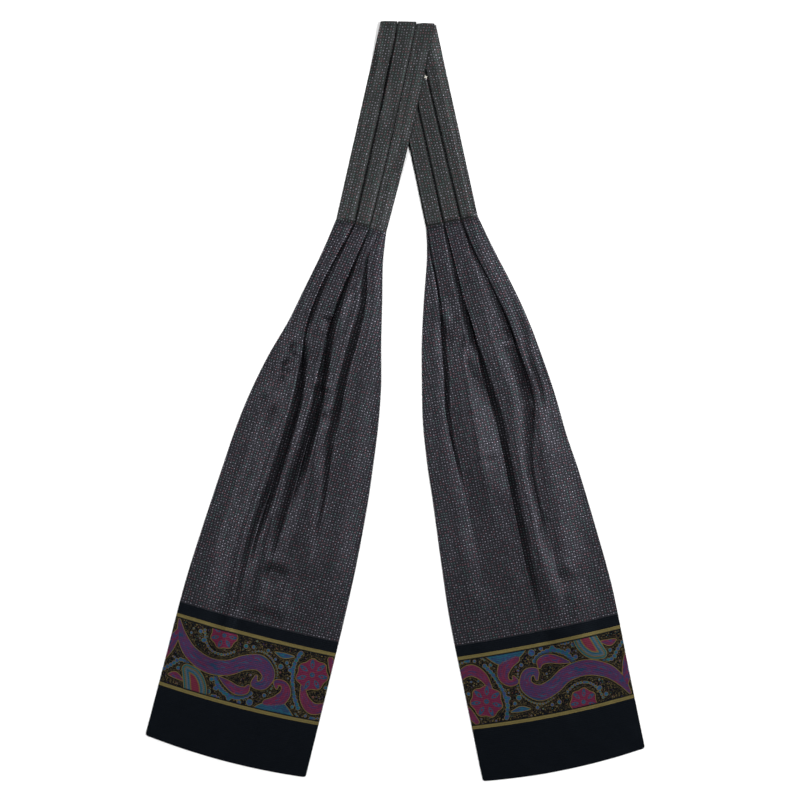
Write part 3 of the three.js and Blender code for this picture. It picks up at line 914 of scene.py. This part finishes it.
def turn_grid(blade):
    """The pleats of the front half carried round the fold, from its far side to its near one."""
    foot, top = arm_ends(blade)
    rise = top[0][1] - foot[0][1]
    a, b, width, edges, line, panel = arm_section(blade, 1 - TURN_RADIUS / rise)
    share = line[:, 0] / width
    radius = AIR / 2 + line[:, 1]
    grid, cloth = [], []
    for k in range(TURN_STATIONS):
        angle = math.pi * (1 - k / TURN_STATIONS)
        x = a[0] + (b[0] - a[0]) * share
        y = a[1] + (b[1] - a[1]) * share + radius * math.sin(angle)
        z = TURN_RADIUS + radius * math.cos(angle)
        grid.append(np.stack([x, y, z], 1) * MM)
        along = blade["length"] + rise - TURN_RADIUS + radius * angle
        cloth.append(np.stack([across_panels(line, panel, edges, width), along], 1))
    return np.array(grid), np.array(cloth)


front_arm_grid, front_arm_cloth = arm_grid(FRONT)
turned_grid, turned_cloth = turn_grid(FRONT)
front_arm = cloth_piece("front_neckband_cloth", np.concatenate([turned_grid, front_arm_grid]),
                        np.concatenate([turned_cloth, front_arm_cloth]), FRONT["side"])
give_wall(front_arm)
front_arm.data.materials.append(plain_silk)
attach(front_arm, "root")
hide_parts("neckband_front", "neckband_turn")

back_arm_grid, back_arm_cloth = arm_grid(BACK)
back_arm = cloth_piece("back_neckband_cloth", back_arm_grid, back_arm_cloth, BACK["side"])
give_wall(back_arm)
back_arm.data.materials.append(plain_silk)
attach(back_arm, "root")
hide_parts("neckband_back")

# Stitch rows
# A row of short hand stitches crosses each half of the neckband and holds its pleats. Each is a
# lens of charcoal silk thread that sinks into the cloth at both ends.
STITCH_LENGTH = 2.5
STITCH_PITCH = 3.2
THREAD = 0.55
THREAD_FLAT = 0.85
STITCH_INSET = 1.8
PLY_PITCH = 0.7


def sewing_silk(name, hex_colour):
    """Filament silk thread of three plies: smooth, with a slight shine along each turn of the
    plies. They are drawn at 0.7 mm, coarser than the real 0.3 mm, so that they show."""
    material = bpy.data.materials.new(name)
    material.use_nodes = True
    place = node(material, "ShaderNodeTexCoord")["Object"]
    ply = node(material, "ShaderNodeTexWave", {"bands_direction": "DIAGONAL"}, Vector=place,
               Scale=2 / (PLY_PITCH * MM * WAVES))["Fac"]
    bump = node(material, "ShaderNodeBump", Height=ply, Strength=0.5, Distance=0.0001)[0]
    shader = material.node_tree.nodes["Principled BSDF"]
    material.node_tree.links.new(bump, shader.inputs["Normal"])
    shader.inputs["Base Color"].default_value = linear(hex_colour)
    shader.inputs["Roughness"].default_value = 0.45
    return material


def top_of(pieces, x, y):
    """The highest point of these pieces under a place in plan, in metres, and its normal."""
    rays = [piece.ray_cast((x * MM, y * MM, 1.0), (0.0, 0.0, -1.0)) for piece in pieces]
    return max((ray[1:3] for ray in rays if ray[0]), key=lambda pair: pair[0].z)


def stitches(name, pieces, places, thick, material):
    """Stitches at a list of places in plan: each an x, a y, a heading and a length."""
    bpy.ops.object.select_all(action="DESELECT")
    bpy.ops.mesh.primitive_uv_sphere_add(segments=8, ring_count=6, radius=0.5 * MM)
    pattern = bpy.context.object
    bpy.ops.object.mode_set(mode="EDIT")
    bpy.ops.transform.resize(value=(1, thick, thick * THREAD_FLAT))
    bpy.ops.object.mode_set(mode="OBJECT")
    bpy.ops.object.shade_smooth()
    bpy.context.view_layer.update()
    made = []
    for x, y, heading, length in places:
        spot, normal = top_of(pieces, x, y)
        along = Vector((math.cos(heading), math.sin(heading), 0))
        along = (along - normal * along.dot(normal)).normalized()
        axes = Matrix((along, normal.cross(along), normal)).transposed().to_4x4()
        one = pattern.copy()
        one.data = pattern.data.copy()
        one.data.transform(Matrix.Translation(spot) @ axes @ Matrix.Diagonal((length, 1, 1, 1)))
        bpy.context.scene.collection.objects.link(one)
        made.append(one)
    bpy.data.objects.remove(pattern)
    for one in made:
        one.select_set(True)
    bpy.context.view_layer.objects.active = made[0]
    bpy.ops.object.join()
    made[0].name = name
    made[0].data.materials.append(material)
    made[0].select_set(False)
    return made[0]


HAND_SHIFT = 0.15
HAND_TURN = 0.06
HAND_STRETCH = 0.12


def seam_places(blade):
    """Where the stitches of one row lie: along the seam, with the slight unevenness of a hand."""
    first = blade["rows"][0]
    heading = blade["side"] * blade["lean"]
    count = round((first["inner"] - first["outer"] - 2 * STITCH_INSET) / STITCH_PITCH)
    places = []
    for k, v in enumerate(np.linspace(first["outer"] + STITCH_INSET,
                                      first["inner"] - STITCH_INSET, count + 1)):
        x, y = on_blade(blade, HAND_SHIFT * math.sin(2.6 * k), v)
        places.append((x, y, heading + HAND_TURN * math.sin(4.1 * k),
                       STITCH_LENGTH * (1 + HAND_STRETCH * math.sin(3.3 * k))))
    return places


sewn = {}
dark_thread = sewing_silk("charcoal_silk_thread", "#060608")
for name, blade, cloths in (("front_stitch_row", FRONT, [front_arm, front_blade]),
                            ("back_stitch_row", BACK, [back_arm, back_blade])):
    sewn[name] = stitches(name, cloths, seam_places(blade), THREAD, dark_thread)
    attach(sewn[name], "root")

# Thread tack
# Two crossed stitches of off-white silk thread tack the front half to the back half.
TACK_AT = (24.5, 258.9)
TACK_LENGTH = 3.3
TACK_THREAD = 0.95
TACK_TURNS = (math.radians(28), math.radians(118))
pale_thread = sewing_silk("off_white_silk_thread", "#cfcabe")
tack = stitches("thread_tack", [front_arm, back_arm],
                [TACK_AT + (turn, TACK_LENGTH) for turn in TACK_TURNS], TACK_THREAD,
                pale_thread)
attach(tack, "root")

# Table
# A plain pale table top that the cravat is laid on. It is not part of the object.
TABLE_SIZE = 4.0
TABLE_DROP = 0.0002
bpy.ops.mesh.primitive_plane_add(size=TABLE_SIZE, location=(0, 0, -TABLE_DROP))
floor = bpy.context.object
floor.name = "floor"
table = bpy.data.materials.new("white_laminate")
table.use_nodes = True
laminate = table.node_tree.nodes["Principled BSDF"]
laminate.inputs["Base Color"].default_value = linear("#f6f6f6")
laminate.inputs["Roughness"].default_value = 0.7
floor.data.materials.append(table)

# Lights and camera
# Two soft lights at the sides and one beyond the turn, as on a copy stand, so that level cloth
# stays dark and the slopes of the folds shine. Places are in metres. The camera looks straight
# down, and a pixel of its picture is 0.8 mm on the table.
LIGHTS = [
    {"place": (-1.24, 0.18, 1.95), "size": 0.6, "watts": 27},
    {"place": (1.18, 0.18, 1.95), "size": 0.6, "watts": 41},
    {"place": (0.3, 1.7, 0.9), "size": 0.9, "watts": 15},
]
for light in LIGHTS:
    bpy.ops.object.light_add(type="AREA", location=light["place"])
    lamp = bpy.context.object
    lamp.data.shape = "DISK"
    lamp.data.size = light["size"]
    lamp.data.energy = light["watts"]
    direction = -lamp.location.normalized()
    lamp.rotation_euler = direction.to_track_quat("-Z", "Y").to_euler()
    lamp.select_set(False)

world = bpy.data.worlds.new("studio")
bpy.context.scene.world = world
world.use_nodes = True
world.node_tree.nodes["Background"].inputs["Color"].default_value = linear("#ffffff")
world.node_tree.nodes["Background"].inputs["Strength"].default_value = 0.08

PIXEL = 0.8
FRAME_PIXELS = 800
LENS = 100.0
SENSOR = 36.0
VIEW_CENTRE = (3.85, 0.95)
camera_data = bpy.data.cameras.new("copy_camera")
camera_data.lens = LENS
camera_data.sensor_width = SENSOR
camera = bpy.data.objects.new("copy_camera", camera_data)
bpy.context.scene.collection.objects.link(camera)
camera.location = (VIEW_CENTRE[0] * MM, VIEW_CENTRE[1] * MM,
                   PIXEL * FRAME_PIXELS * MM * LENS / SENSOR)
bpy.context.scene.camera = camera
bpy.context.scene.view_settings.view_transform = "Standard"
